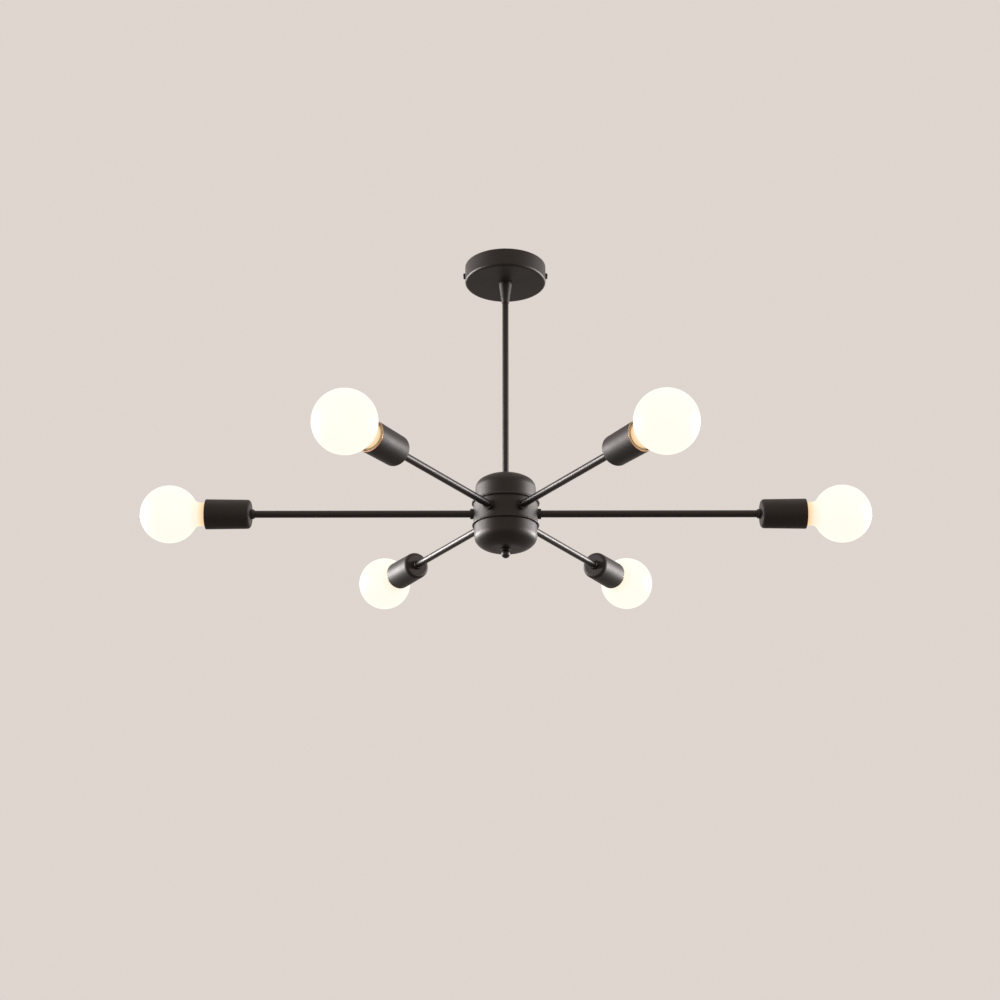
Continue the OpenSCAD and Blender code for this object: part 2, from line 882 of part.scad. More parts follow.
module supply_leads() {
    lead_r = supply_lead_d / 2;
    color([0.45, 0.22, 0.12])
        lead(bent(pole_route(0, 1)), lead_r, [1, -1, 0]);
    color([0.15, 0.30, 0.62])
        lead(bent(pole_route(1, -1)), lead_r, [1, 1, 0]);
    color([0.35, 0.60, 0.18])
        lead(bent(earth_route(2)), lead_r, [1, 1, 0]);
}

module canopy_collar() {
    sleeve_r = rod_r + fit;
    lip_taper = 0.3;
    color(black_satin)
        rotate_extrude()
            polygon([
                [spigot_hole_r, -canopy_h],
                [collar_d / 2, -canopy_h],
                [collar_d / 2 - lip_taper, -canopy_h - collar_lip],
                [sleeve_r + collar_tip_wall, -canopy_h - collar_h],
                [sleeve_r, -canopy_h - collar_h],
                [sleeve_r, rod_seat_z],
                [spigot_hole_r, rod_seat_z]
            ]);
}

module canopy() {
    color(black_satin)
        difference() {
            mirror([0, 0, 1])
                rotate_extrude()
                    difference() {
                        pan_outline(canopy_d / 2, canopy_h, canopy_round, 0);
                        pan_outline(canopy_d / 2, canopy_h, canopy_round, canopy_wall);
                        square([spigot_hole_r, canopy_h + eps]);
                    }
            translate([-canopy_d, 0, -side_screw_drop])
                rotate([0, 90, 0])
                    cylinder(h = 2 * canopy_d, d = side_screw_d + 2 * fit);
        }
}

module canopy_locknut() {
    color(zinc)
        translate([0, 0, canopy_floor_z])
            hex_nut(rod_nut_af, rod_nut_t, spigot_hole_r);
}

module canopy_side_screws() {
    shank = canopy_d / 2 - ear_out_x + bracket_t + thread_end;
    color(black_satin)
        for (side = [0, 180])
            rotate([0, 0, side])
                translate([canopy_d / 2, 0, -side_screw_drop])
                    rotate([0, 90, 0])
                        pan_screw(side_head_d, side_head_h, side_screw_d, shank);
}

// A straight-through slot along X, centred on the origin
module slot() {
    run = slot_len - slot_w;
    for (side = [-1, 1])
        translate([side * run / 2, 0, -eps])
            cylinder(h = bracket_t + 2 * eps, d = slot_w);
    translate([-run / 2, -slot_w / 2, -eps])
        cube([run, slot_w, bracket_t + 2 * eps]);
}

module ceiling_bracket() {
    color(zinc)
        difference() {
            union() {
                translate([-ear_out_x, -bracket_w / 2, -bracket_t])
                    cube([2 * ear_out_x, bracket_w, bracket_t]);
                for (side = [-1, 1])
                    translate([side * (ear_out_x - bracket_t / 2), 0, -ear_h / 2])
                        cube([bracket_t, bracket_w, ear_h], center = true);
            }
            for (side = [-1, 1])
                translate([side * slot_pitch / 2, 0, -bracket_t])
                    slot();
            translate([cable_hole_x, 0, -bracket_t - eps])
                cylinder(h = bracket_t + 2 * eps, d = cable_hole_d);
            for (spot = [earth_top, block_screw])
                translate([spot.x, spot.y, -bracket_t - eps])
                    cylinder(h = bracket_t + 2 * eps, d = small_screw_d + 2 * fit);
            translate([-canopy_d, 0, -side_screw_drop])
                rotate([0, 90, 0])
                    cylinder(h = 2 * canopy_d, d = side_screw_d + 2 * fit);
        }
}

module terminal_block() {
    well_d = small_head_d + 1;
    color(insulator)
        difference() {
            translate([block_x - block_len / 2, -block_w / 2, -bracket_t - block_h])
                cube([block_len, block_w, block_h]);
            translate([block_x, 0, -bracket_t - block_h - eps]) {
                cylinder(h = block_h + 2 * eps, d = small_screw_d + 2 * fit);
                cylinder(h = block_h / 2 + eps, d = well_d);
            }
            for (dx = [-1, 1], dy = [-1, 1])
                translate([block_x + dx * block_len / 3, dy * terminal_y, -bracket_t - block_h - eps])
                    cylinder(h = terminal_hole_h + eps, d = terminal_hole_d);
        }
}

// One screw holds the block, and two hold the earth leads
module block_and_earth_screws() {
    color(zinc) {
        translate(block_screw)
            mirror([0, 0, 1])
                pan_screw(small_head_d, small_head_h, small_screw_d, block_h / 2 + bracket_t - thread_short);
        translate(earth_top)
            mirror([0, 0, 1])
                pan_screw(small_head_d, small_head_h, small_screw_d, bracket_t - thread_short);
        translate(earth_hub)
            mirror([0, 0, 1])
                pan_screw(small_head_d, small_head_h, small_screw_d, web_t - thread_short);
    }
}

bulb_globe(1);  // bulb_1_globe
bulb_globe(2);  // bulb_2_globe
bulb_globe(3);  // bulb_3_globe
bulb_globe(4);  // bulb_4_globe
bulb_globe(5);  // bulb_5_globe
bulb_globe(6);  // bulb_6_globe
bulb_screw_cap(1);  // bulb_1_screw_cap
bulb_screw_cap(2);  // bulb_2_screw_cap
bulb_screw_cap(3);  // bulb_3_screw_cap
bulb_screw_cap(4);  // bulb_4_screw_cap
bulb_screw_cap(5);  // bulb_5_screw_cap
bulb_screw_cap(6);  // bulb_6_screw_cap
bulb_contact(1);  // bulb_1_contact
bulb_contact(2);  // bulb_2_contact
bulb_contact(3);  // bulb_3_contact
bulb_contact(4);  // bulb_4_contact
bulb_contact(5);  // bulb_5_contact
bulb_contact(6);  // bulb_6_contact
socket_cup(1);  // socket_cup_1
socket_cup(2);  // socket_cup_2
socket_cup(3);  // socket_cup_3
socket_cup(4);  // socket_cup_4
socket_cup(5);  // socket_cup_5
socket_cup(6);  // socket_cup_6
lampholder(1);  // lampholder_1
lampholder(2);  // lampholder_2
lampholder(3);  // lampholder_3
lampholder(4);  // lampholder_4
lampholder(5);  // lampholder_5
lampholder(6);  // lampholder_6
arm_tube(1);  // arm_tube_1
arm_tube(2);  // arm_tube_2
arm_tube(3);  // arm_tube_3
arm_tube(4);  // arm_tube_4
arm_tube(5);  // arm_tube_5
arm_tube(6);  // arm_tube_6
arm_collars();
arm_hub_nuts();
socket_nuts();
screw_shells();
centre_contacts();
arm_leads();
hub_top_cap();
hub_body();
hub_clamp_nuts();
hub_bridge();
bridge_screws();
finial_stud();
hub_bottom_cap();
finial();
wire_connectors();
downrod();
supply_leads();
canopy_collar();
canopy();
canopy_locknut();
canopy_side_screws();
ceiling_bracket();
terminal_block();
block_and_earth_screws();
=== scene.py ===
"""Ceiling light with six level arms: its finishes, bulbs, leads and stage.

The file is laid out as an add-on. Run as a script, it dresses the packed frame and builds the stage.
Everything is in metres, in the frame of the packed model: the ceiling is z = 0 and +Z is up.
"""

import json
import math

import bmesh
import bpy
from bpy.props import FloatProperty, FloatVectorProperty, IntProperty, PointerProperty
from bpy.types import Operator, Panel, PropertyGroup
from mathutils import Matrix, Vector


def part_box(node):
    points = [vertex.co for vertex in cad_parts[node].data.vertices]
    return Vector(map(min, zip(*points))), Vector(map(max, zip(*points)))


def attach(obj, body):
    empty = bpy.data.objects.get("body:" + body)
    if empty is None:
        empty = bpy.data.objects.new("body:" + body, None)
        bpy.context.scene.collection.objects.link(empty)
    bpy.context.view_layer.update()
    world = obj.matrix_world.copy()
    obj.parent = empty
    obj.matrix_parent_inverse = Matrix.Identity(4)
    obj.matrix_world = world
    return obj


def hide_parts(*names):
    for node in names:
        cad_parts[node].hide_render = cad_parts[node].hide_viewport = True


bl_info = {
    "name": "Radial Ceiling Light",
    "version": (1, 0, 0),
    "blender": (4, 5, 0),
    "location": "3D View > Sidebar > Ceiling Light",
    "description": "Finishes, bulbs, leads and stage of a ceiling light with six level arms",
    "category": "Object",
}

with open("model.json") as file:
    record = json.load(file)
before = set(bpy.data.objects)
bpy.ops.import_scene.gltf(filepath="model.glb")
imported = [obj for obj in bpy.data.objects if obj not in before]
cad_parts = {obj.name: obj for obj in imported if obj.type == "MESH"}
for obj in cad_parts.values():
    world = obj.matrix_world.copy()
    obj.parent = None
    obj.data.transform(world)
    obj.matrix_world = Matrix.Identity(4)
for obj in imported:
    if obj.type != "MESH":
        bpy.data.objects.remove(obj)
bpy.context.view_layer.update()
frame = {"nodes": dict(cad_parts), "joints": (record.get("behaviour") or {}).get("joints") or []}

ARMS = range(1, 7)
MM = 0.001
JOINTS = {joint["name"]: joint for joint in frame["joints"]}
OUTWARD = {n: Vector(JOINTS[f"bulb_{n}_turn"]["axis"]) for n in ARMS}
GLOBE_CENTRE = {n: Vector(JOINTS[f"bulb_{n}_turn"]["pos_m"]) for n in ARMS}
ARM_Z = GLOBE_CENTRE[1].z
SHARP_ANGLE = math.radians(35)


def span(node, start, direction):
    """Nearest and farthest distance of a CAD node from a point, measured along a direction."""
    reach = [(vertex.co - start).dot(direction) for vertex in frame["nodes"][node].data.vertices]
    return min(reach), max(reach)


# Distances along a bulb, from the globe's centre towards the hub
GLASS_TIP, GLASS_END = span("bulb_1_globe", GLOBE_CENTRE[1], -OUTWARD[1])
CONTACT_START, CONTACT_TIP = span("bulb_1_contact", GLOBE_CENTRE[1], -OUTWARD[1])
MOUTH, CUP_BACK = span("socket_cup_1", GLOBE_CENTRE[1], -OUTWARD[1])
GLOBE_R = -GLASS_TIP
CUP_MOUTH_R = span("socket_cup_1", GLOBE_CENTRE[1], Vector((0, 0, 1)))[1]
# How much slimmer a socket cup is at its back than at its mouth, in radius
CUP_TAPER = 0.7 * MM
CUP_BACK_R = CUP_MOUTH_R - CUP_TAPER
# Depth below a cup's outer face at which the painted warm bulb light of its inside begins
CUP_SKIN = 0.5 * MM

ORIGIN = Vector((0, 0, 0))
HUB_CENTRE = Vector((0, 0, ARM_Z))
# Depth of a wire connector's cavity
CONNECTOR_CAVITY = 11.0 * MM
# Distance of a lampholder's terminals behind the tip of the bulb's contact
SOCKET_FLOOR = 6.5 * MM
# Height above the rod's end at which the supply leads bend outwards
LEAD_RISE = 3.5 * MM
# Head height of the small machine screws
SCREW_HEAD = 2.4 * MM
# Earth screws: one from the centre of the bracket, one from the centre of the hub
EARTH_SCREW = Vector((5.5, -10.0, -2.0)) * MM
HUB_EARTH_SCREW = Vector((25.0, 0.0, 14.5)) * MM
# Canopy side screws: length with the head, radius and rounding of the shank, edge of the head, slot
SIDE_SCREW_LENGTH = 12.0 * MM
SIDE_SCREW_R = 2.0 * MM
SHANK_BEVEL_R = 1.8 * MM
SHANK_BEVEL_LENGTH = 0.4 * MM
HEAD_EDGE = 0.3 * MM
SLOT_WIDTH = 1.1 * MM

# Side lamps: distance to the side and behind, height above the arms, width and height
GLEAM_SIDE, GLEAM_BACK, GLEAM_RISE = 2.08, 0.50, 0.22
GLEAM_SIZE = (2.2, 0.6)
GLEAM_COLOUR = (1.0, 0.995, 1.0)
TOP_LAMP_SPOT = (0.0, -0.4, 1.9)
TOP_LAMP_SIZE = (2.4, 2.4)
TOP_LAMP_COLOUR = (1.0, 0.98, 0.96)
FILL_COLOUR = (1.0, 0.965, 0.93, 1.0)
# Half the floor's width, and its darkest and lightest share of the backdrop's colour
FLOOR_HALF = 9.0
FLOOR_DARK, FLOOR_LIGHT = 0.58, 0.62


class GlobeSettings(PropertyGroup):
    """Sizes and light of the opal bulbs."""

    wall: FloatProperty(
        name="Glass Wall", description="Thickness of the opal glass",
        default=1.2 * MM, min=0.5 * MM, max=3 * MM, precision=4, subtype="DISTANCE", unit="LENGTH")
    neck_radius: FloatProperty(
        name="Neck Radius", description="Outer radius of the glass neck",
        default=16.2 * MM, min=14 * MM, max=18 * MM, precision=4, subtype="DISTANCE", unit="LENGTH")
    neck_curve: FloatProperty(
        name="Neck Curve", description="Radius of the hollow curve between globe and neck",
        default=10 * MM, min=5 * MM, max=14 * MM, precision=4, subtype="DISTANCE", unit="LENGTH")
    collar_radius: FloatProperty(
        name="Collar Radius", description="Radius of the glass where the screw cap grips it",
        default=14.6 * MM, min=13 * MM, max=16 * MM, precision=4, subtype="DISTANCE", unit="LENGTH")
    glow: FloatProperty(
        name="Glow", description="Strength of the lit glass",
        default=0.955, min=0.0, max=10.0)
    glow_colour: FloatVectorProperty(
        name="Glow Colour", description="Colour of the lit glass over the globe",
        default=(1.0, 0.995, 0.88), min=0.0, max=1.0, subtype="COLOR")
    neck_colour: FloatVectorProperty(
        name="Neck Colour", description="Warmer colour of the lit glass at the neck",
        default=(1.0, 0.72, 0.42), min=0.0, max=1.0, subtype="COLOR")
    steps: IntProperty(
        name="Segments", description="Segments round each turned piece",
        default=96, min=24, max=256)


class ThreadSettings(PropertyGroup):
    """Sizes of the bulbs' screw caps."""

    radius: FloatProperty(
        name="Thread Radius", description="Outer radius of the screw thread",
        default=13.2 * MM, min=12 * MM, max=14 * MM, precision=4, subtype="DISTANCE", unit="LENGTH")
    depth: FloatProperty(
        name="Thread Depth", description="Depth of the screw thread",
        default=1.0 * MM, min=0.4 * MM, max=1.5 * MM, precision=4, subtype="DISTANCE", unit="LENGTH")
    pitch: FloatProperty(
        name="Thread Pitch", description="Distance between two turns of the thread",
        default=3.63 * MM, min=3 * MM, max=5 * MM, precision=5, subtype="DISTANCE", unit="LENGTH")


class MetalSettings(PropertyGroup):
    """Colours and gloss of the metal finishes."""

    black: FloatVectorProperty(
        name="Black", description="Colour of the satin powder coat",
        default=(0.0077, 0.0052, 0.0035), min=0.0, max=1.0, subtype="COLOR")
    black_roughness: FloatProperty(
        name="Black Roughness", description="Roughness of the satin powder coat on the hub and the canopy",
        default=0.47, min=0.05, max=1.0)
    tube_roughness: FloatProperty(
        name="Tube Roughness", description="Roughness of the smoother coat on the rod and the arms",
        default=0.42, min=0.05, max=1.0)
    cup_roughness: FloatProperty(
        name="Cup Roughness", description="Roughness of the duller coat on the socket cups",
        default=0.56, min=0.05, max=1.0)
    # Painted highlight: this warm metallic colour stands in for the bulbs' light on the rims of the cups.
    painted_lip_highlight: FloatVectorProperty(
        name="Copper", description="Colour of the bare metal on the lips of the socket cups",
        default=(0.60, 0.36, 0.22), min=0.0, max=1.0, subtype="COLOR")
    # Painted warm light: this brown stands in for the bulbs' light falling on the black inside of each
    # cup.
    inside: FloatVectorProperty(
        name="Cup Inside", description="Colour of the darkened metal inside the socket cups",
        default=(0.17, 0.065, 0.024), min=0.0, max=1.0, subtype="COLOR")
    # Painted highlight: the band at a cup's mouth that shows the bulbs' light on its rim.
    lip_highlight_height: FloatProperty(
        name="Lip Height", description="Height of the bare lip at the mouth of a socket cup",
        default=0.15 * MM, min=0.0, max=2 * MM, precision=5, subtype="DISTANCE", unit="LENGTH")
    # The painted warm bulb light inside a cup stops this far from its back.
    painted_glow_end: FloatProperty(
        name="Inside End", description="Distance from a cup's back at which its darkened inside ends",
        default=8 * MM, min=6 * MM, max=40 * MM, precision=4, subtype="DISTANCE", unit="LENGTH")
    zinc: FloatVectorProperty(
        name="Zinc", description="Colour of the plated steel inside the light",
        default=(0.52, 0.53, 0.55), min=0.0, max=1.0, subtype="COLOR")
    brass: FloatVectorProperty(
        name="Brass", description="Colour of the brass contacts",
        default=(0.62, 0.42, 0.16), min=0.0, max=1.0, subtype="COLOR")
    nickel: FloatVectorProperty(
        name="Nickel", description="Colour of the bulbs' plated screw caps",
        default=(0.60, 0.57, 0.52), min=0.0, max=1.0, subtype="COLOR")


class LeadSettings(PropertyGroup):
    """Sizes and colours of the insulated leads."""

    arm_radius: FloatProperty(
        name="Arm Lead Radius", description="Radius of the leads in the arms",
        default=0.8 * MM, min=0.4 * MM, max=1.2 * MM, precision=4, subtype="DISTANCE", unit="LENGTH")
    supply_radius: FloatProperty(
        name="Supply Lead Radius", description="Radius of the leads in the rod",
        default=0.9 * MM, min=0.4 * MM, max=1.2 * MM, precision=4, subtype="DISTANCE", unit="LENGTH")
    bend: FloatProperty(
        name="Bend", description="How far from a corner each lead starts to bend",
        default=3 * MM, min=2 * MM, max=6 * MM, precision=4, subtype="DISTANCE", unit="LENGTH")
    lift: FloatProperty(
        name="Lift", description="Distance of each arm lead above or below the arm's axis",
        default=1.2 * MM, min=1 * MM, max=2 * MM, precision=4, subtype="DISTANCE", unit="LENGTH")
    terminal_offset: FloatProperty(
        name="Terminal Offset", description="Distance of a lampholder's terminals from the arm's axis",
        default=7 * MM, min=5 * MM, max=10 * MM, precision=4, subtype="DISTANCE", unit="LENGTH")
    bundle: FloatProperty(
        name="Bundle", description="Radius of the ring of leads in a wire connector",
        default=2.5 * MM, min=2 * MM, max=4 * MM, precision=4, subtype="DISTANCE", unit="LENGTH")
    ring: FloatProperty(
        name="Supply Ring", description="Distance of each supply lead from the rod's axis",
        default=1.25 * MM, min=1 * MM, max=1.5 * MM, precision=5, subtype="DISTANCE", unit="LENGTH")
    level: FloatProperty(
        name="Supply Level", description="Height above the arms at which the supply leads fan out",
        default=4.5 * MM, min=3 * MM, max=6 * MM, precision=4, subtype="DISTANCE", unit="LENGTH")
    line: FloatVectorProperty(
        name="Line", description="Colour of the line leads",
        default=(0.17, 0.055, 0.022), min=0.0, max=1.0, subtype="COLOR")
    neutral: FloatVectorProperty(
        name="Neutral", description="Colour of the neutral leads",
        default=(0.02, 0.07, 0.33), min=0.0, max=1.0, subtype="COLOR")
    earth: FloatVectorProperty(
        name="Earth", description="First colour of the striped earth lead",
        default=(0.05, 0.27, 0.04), min=0.0, max=1.0, subtype="COLOR")


class StageSettings(PropertyGroup):
    """Backdrop, lamps and camera."""

    backdrop: FloatVectorProperty(
        name="Backdrop", description="Pale colour seen behind the light",
        default=(0.735, 0.668, 0.625), min=0.0, max=1.0, subtype="COLOR")
    fill: FloatProperty(
        name="Fill", description="Strength of the soft light from all round",
        default=0.75, min=0.0, max=5.0)
    left_power: FloatProperty(
        name="Left Lamp", description="Power of the lamp that the metal mirrors at the left",
        default=152.0, min=0.0, max=1000.0, unit="POWER")
    right_power: FloatProperty(
        name="Right Lamp", description="Power of the lamp that the metal mirrors at the right",
        default=118.0, min=0.0, max=1000.0, unit="POWER")
    top_power: FloatProperty(
        name="Top Lamp", description="Power of the lamp above",
        default=8.0, min=0.0, max=1000.0, unit="POWER")
    floor_drop: FloatProperty(
        name="Floor Drop", description="Depth of the floor below the ceiling",
        default=3.2, min=2.0, max=6.0, subtype="DISTANCE", unit="LENGTH")
    lens: FloatProperty(
        name="Focal Length", description="Focal length of the camera",
        default=56.95, min=10.0, max=300.0, unit="CAMERA")
    eye: FloatVectorProperty(
        name="Eye", description="Place of the camera",
        default=(-0.001, -2.063, -1.109), subtype="TRANSLATION", unit="LENGTH")
    pitch: FloatProperty(
        name="Pitch", description="Angle by which the camera looks up",
        default=math.radians(19.92), subtype="ANGLE", unit="ROTATION")
    yaw: FloatProperty(
        name="Yaw", description="Angle by which the camera looks to the left",
        default=math.radians(0.19), subtype="ANGLE", unit="ROTATION")


def settings(name):
    """One of the scene's property groups."""
    return getattr(bpy.context.scene, "ceiling_light_" + name)


def link(obj):
    """Puts a new object into the scene."""
    bpy.context.scene.collection.objects.link(obj)
    return obj


def mesh_object(name, vertices, faces, sharp_angle=SHARP_ANGLE):
    """A smooth-shaded mesh whose normals face outwards, with its sharp edges kept."""
    mesh = bpy.data.meshes.new(name)
    mesh.from_pydata(vertices, [], faces)
    tidy = bmesh.new()
    tidy.from_mesh(mesh)
    bmesh.ops.remove_doubles(tidy, verts=tidy.verts, dist=1e-7)
    bmesh.ops.recalc_face_normals(tidy, faces=tidy.faces)
    tidy.to_mesh(mesh)
    tidy.free()
    mesh.shade_smooth()
    mesh.set_sharp_from_angle(angle=sharp_angle)
    return link(bpy.data.objects.new(name, mesh))


def arc(centre, radius, start, end, steps):
    """Points (radius, height) on an arc, from one angle to another."""
    return [
        (centre[0] + radius * math.cos(start + (end - start) * i / steps),
         centre[1] + radius * math.sin(start + (end - start) * i / steps))
        for i in range(steps + 1)
    ]


def lathe(name, outline, place, segments):
    """Turns a closed outline of (radius, height) points about the local Z axis."""
    vertices, faces = [], []
    count = len(outline)
    for k in range(segments):
        turn = 2 * math.pi * k / segments
        for radius, height in outline:
            spot = Vector((radius * math.cos(turn), radius * math.sin(turn), height))
            vertices.append(place @ spot)
    for k in range(segments):
        here, there = k * count, (k + 1) % segments * count
        for i in range(count):
            j = (i + 1) % count
            on_axis = outline[i][0] < 1e-9, outline[j][0] < 1e-9
            if all(on_axis):
                continue
            if on_axis[0]:
                faces.append((here + i, here + j, there + j))
            elif on_axis[1]:
                faces.append((here + i, here + j, there + i))
            else:
                faces.append((here + i, here + j, there + j, there + i))
    return mesh_object(name, vertices, faces)


def block(size, place):
    """A box of a size, centred on a place, to cut with."""
    tool = bmesh.new()
    bmesh.ops.create_cube(tool, size=1.0, matrix=place @ Matrix.Diagonal((*size, 1.0)))
    mesh = bpy.data.meshes.new("tool")
    tool.to_mesh(mesh)
    tool.free()
    return link(bpy.data.objects.new("tool", mesh))


def cut(obj, tool):
    """Cuts the tool's shape out of a piece, and deletes the tool."""
    step = obj.modifiers.new("cut", "BOOLEAN")
    step.operation = "DIFFERENCE"
    step.solver = "EXACT"
    step.object = tool
    graph = bpy.context.evaluated_depsgraph_get()
    mesh = bpy.data.meshes.new_from_object(obj.evaluated_get(graph))
    obj.modifiers.clear()
    obj.data = mesh
    mesh.shade_smooth()
    mesh.set_sharp_from_angle(angle=SHARP_ANGLE)
    bpy.data.objects.remove(tool)


def ring_faces(rings, sides):
    """The faces between neighbouring rings of points."""
    return [
        (row * sides + k, row * sides + (k + 1) % sides,
         (row + 1) * sides + (k + 1) % sides, (row + 1) * sides + k)
        for row in range(rings - 1) for k in range(sides)]


def rounded(route, bend, steps=8):
    """A route with each of its corners replaced by a short curve."""
    points = [Vector(route[0])]
    for before, here, after in zip(route, route[1:], route[2:]):
        start = here + (before - here).normalized() * bend
        end = here + (after - here).normalized() * bend
        for i in range(steps + 1):
            t = i / steps
            points.append((1 - t) ** 2 * start + 2 * t * (1 - t) * here + t ** 2 * end)
    points.append(Vector(route[-1]))
    return points


def lead(name, route, radius, bend, sides=12):
    """A round lead along a route, whose rings turn as little as they can."""
    points = rounded(route, bend)
    last = len(points) - 1
    headings = [
        (points[min(i + 1, last)] - points[max(i - 1, 0)]).normalized() for i in range(len(points))]
    side = headings[0].orthogonal().normalized()
    vertices = []
    for i, (point, heading) in enumerate(zip(points, headings)):
        if i:
            side = headings[i - 1].rotation_difference(heading) @ side
        lift = heading.cross(side)
        vertices += [
            point + radius * (side * math.cos(turn) + lift * math.sin(turn))
            for turn in (2 * math.pi * k / sides for k in range(sides))]
    faces = ring_faces(len(points), sides)
    faces.append(tuple(range(sides)))
    faces.append(tuple(last * sides + k for k in range(sides)))
    return mesh_object(name, vertices, faces, math.radians(60))


def bulb_place(n):
    """Local Z runs from the globe's centre towards the hub."""
    inward = -OUTWARD[n]
    side = Vector((0, 0, 1)).cross(inward).normalized()
    turn = Matrix((side, inward.cross(side), inward)).transposed().to_4x4()
    return Matrix.Translation(GLOBE_CENTRE[n]) @ turn


def finish_piece(obj, body, slot, material, *replaced):
    """Gives a new piece its material, its body and the CAD nodes that it replaces; its slot is not used.
    """
    obj.data.materials.append(material)
    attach(obj, body)
    if replaced:
        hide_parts(*replaced)
    return obj


def dress(node, material):
    """Gives a CAD node its finish."""
    obj = frame["nodes"][node]
    if not obj.material_slots:
        obj.data.materials.append(material)
    for holder in obj.material_slots:
        holder.material = material


class Shader:
    """A material with its shader and a short way to add nodes."""

    def __init__(self, name):
        self.material = bpy.data.materials.new(name)
        self.material.use_nodes = True
        self.tree = self.material.node_tree
        self.shader = self.tree.nodes["Principled BSDF"]
        self.place = self.tree.nodes.new("ShaderNodeTexCoord").outputs["Object"]

    def add(self, kind, inputs=(), **fields):
        node = self.tree.nodes.new(kind)
        for field, value in fields.items():
            setattr(node, field, value)
        for key, value in dict(inputs).items():
            self.feed(node.inputs[key], value)
        return node

    def feed(self, socket, value):
        if isinstance(value, bpy.types.NodeSocket):
            self.tree.links.new(value, socket)
        else:
            socket.default_value = value

    def noise(self, scale, detail=3.0, roughness=0.5, place=None):
        inputs = {"Vector": place or self.place, "Scale": scale, "Detail": detail, "Roughness": roughness}
        return self.add("ShaderNodeTexNoise", inputs).outputs["Fac"]

    def ramp(self, factor, stops):
        node = self.add("ShaderNodeValToRGB", {"Fac": factor})
        ends = node.color_ramp.elements
        while len(ends) < len(stops):
            ends.new(1.0)
        for end, (spot, colour) in zip(ends, stops):
            end.position = spot
            end.color = (*colour, 1.0)
        return node.outputs["Color"]

    def fit_range(self, value, low, high, to_low, to_high):
        inputs = {"Value": value, "From Min": low, "From Max": high, "To Min": to_low, "To Max": to_high}
        return self.add("ShaderNodeMapRange", inputs).outputs["Result"]

    def offset_and_depth(self, start, direction):
        """The offset from a point, and its length along a direction."""
        offset = self.add(
            "ShaderNodeVectorMath", {0: self.place, 1: start}, operation="SUBTRACT").outputs["Vector"]
        depth = self.add("ShaderNodeVectorMath", {0: offset, 1: direction}, operation="DOT_PRODUCT")
        return offset, depth.outputs["Value"]

    def mix(self, factor, first, second):
        """The first colour where the factor is 0, the second where it is 1."""
        node = self.add("ShaderNodeMix", data_type="RGBA")
        self.feed(node.inputs[0], factor)
        self.feed(node.inputs[6], first)
        self.feed(node.inputs[7], second)
        return node.outputs[2]

    def maths(self, operation, first, second):
        return self.add("ShaderNodeMath", {0: first, 1: second}, operation=operation).outputs["Value"]

    def bump(self, height, strength, distance):
        node = self.add("ShaderNodeBump", {"Height": height, "Strength": strength, "Distance": distance})
        self.feed(self.shader.inputs["Normal"], node.outputs["Normal"])

    def set(self, **inputs):
        for name, value in inputs.items():
            self.feed(self.shader.inputs[name.replace("_", " ")], value)
        return self


def shade(colour, amount):
    """A colour made darker or lighter by an amount."""
    return tuple(channel * amount for channel in colour)


def powder_black(name, roughness):
    """Satin black powder coat: a fine pebbled skin with faint clouds of tone and gloss."""
    metal = settings("metal")
    paint = Shader(name)
    clouds = paint.noise(38.0, 4.0, 0.55)
    pebbles = paint.noise(1500.0, 2.0, 0.5)
    grain = paint.noise(5200.0, 2.0, 0.6)
    tone = paint.ramp(clouds, [(0.3, shade(metal.black, 0.82)), (0.7, shade(metal.black, 1.22))])
    gloss = paint.fit_range(clouds, 0.3, 0.7, roughness - 0.035, roughness + 0.035)
    skin = paint.maths("ADD", pebbles, paint.maths("MULTIPLY", grain, 0.35))
    paint.set(Base_Color=tone, Roughness=gloss, IOR=1.45, Specular_Tint=(1.0, 0.89, 0.85, 1.0))
    paint.bump(skin, 0.025, 0.12 * MM)
    return paint


